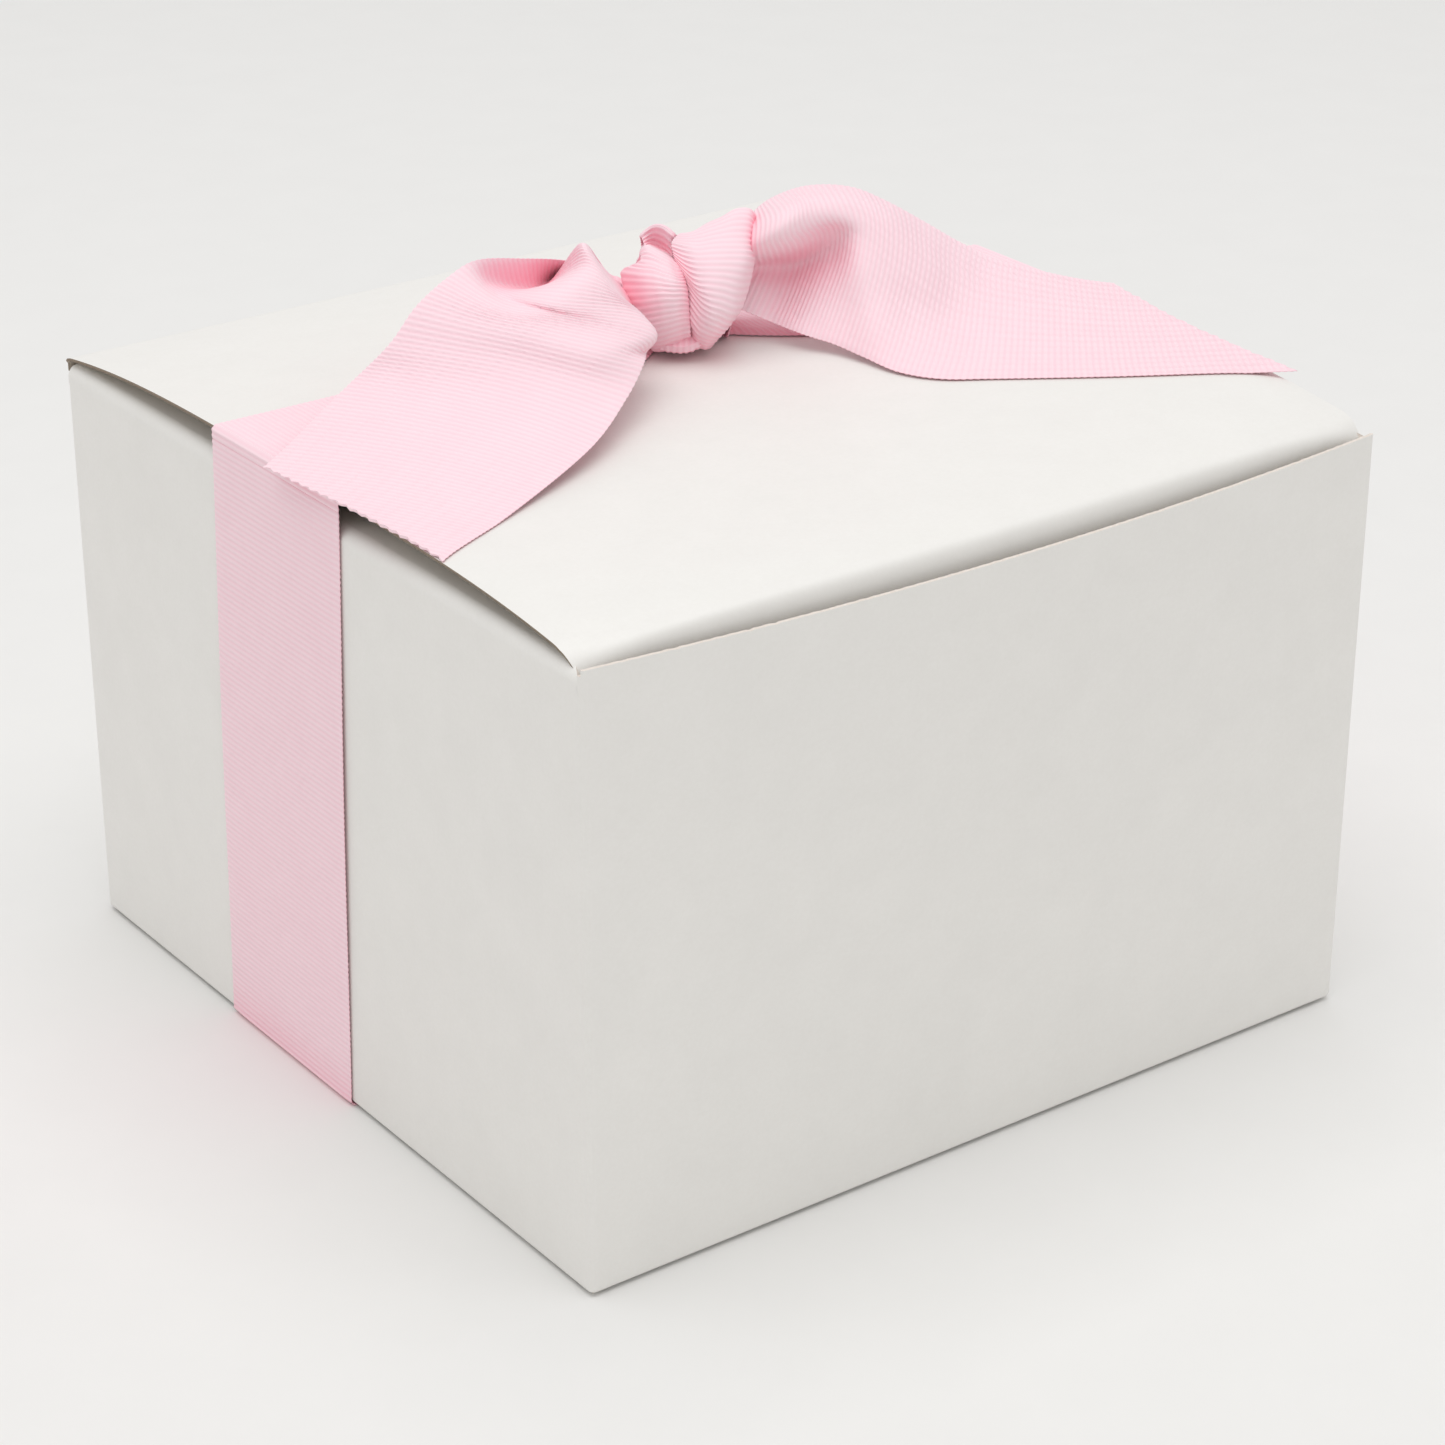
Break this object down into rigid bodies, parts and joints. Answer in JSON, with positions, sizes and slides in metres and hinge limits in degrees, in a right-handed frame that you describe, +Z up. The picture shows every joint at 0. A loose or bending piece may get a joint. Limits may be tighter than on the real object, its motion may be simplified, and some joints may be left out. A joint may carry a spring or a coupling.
{
  "type": "gift box",
  "caption": "White tuck-top folding carton with a hinged crowned lid, tuck flap and dust flaps, tied round with wide grosgrain ribbon knotted on the lid.",
  "frame": {"origin": "on the table under the middle of the carton, on the underside of the ribbon it stands on", "axes": "+Z up, -Y is the front with the tuck opening, +X is the right-hand side seen from the front"},
  "size_m": [0.1544, 0.1569, 0.132],
  "materials": {
    "coated_board": "semi-gloss clay-coated white",
    "board_back": "uncoated grey-brown back",
    "grosgrain_ribbon": "ribbed polyester grosgrain, light pink"
  },
  "bodies": {
    "carton": {"front_panel": "coated_board", "rear_panel": "coated_board", "left_panel": "coated_board", "right_panel": "coated_board", "glue_tab": "board_back", "bottom_rear_flap": "coated_board", "bottom_left_flap": "coated_board", "bottom_right_flap": "coated_board", "bottom_front_flap": "coated_board", "ribbon_bottom_span": "grosgrain_ribbon", "ribbon_left_span": "grosgrain_ribbon", "ribbon_right_span": "grosgrain_ribbon"},
    "lid": {"lid_panel": "coated_board", "ribbon_lid_left_span": "grosgrain_ribbon", "ribbon_lid_right_span": "grosgrain_ribbon", "knot_left_turn": "grosgrain_ribbon", "knot_right_turn": "grosgrain_ribbon", "knot_core": "grosgrain_ribbon", "ribbon_left_tail": "grosgrain_ribbon", "ribbon_right_tail": "grosgrain_ribbon"},
    "tuck": {"tuck_flap": "coated_board"},
    "left_dust": {"left_dust_flap": "coated_board"},
    "right_dust": {"right_dust_flap": "coated_board"}
  },
  "joints": [
    {"name": "lid_hinge", "type": "hinge", "parent": "carton", "child": "lid", "pos_m": [0, 0.0759, 0.1034], "axis": [-1, 0, 0], "range_deg": [0, 170]},
    {"name": "tuck_flap_crease", "type": "hinge", "parent": "lid", "child": "tuck", "pos_m": [0, -0.07457, 0.09877], "axis": [-1, 0, 0], "range_deg": [0, 43]},
    {"name": "left_dust_flap_crease", "type": "hinge", "parent": "carton", "child": "left_dust", "pos_m": [-0.0756, 0, 0.1024], "axis": [0, -1, 0], "range_deg": [0, 86]},
    {"name": "right_dust_flap_crease", "type": "hinge", "parent": "carton", "child": "right_dust", "pos_m": [0.0756, 0, 0.1024], "axis": [0, 1, 0], "range_deg": [0, 86]}
  ],
  "couplings": [
    {"joint": "tuck_flap_crease", "follows": "lid_hinge", "ratio": 0.25},
    {"joint": "left_dust_flap_crease", "follows": "lid_hinge", "ratio": 0.5},
    {"joint": "right_dust_flap_crease", "follows": "lid_hinge", "ratio": 0.5}
  ]
}
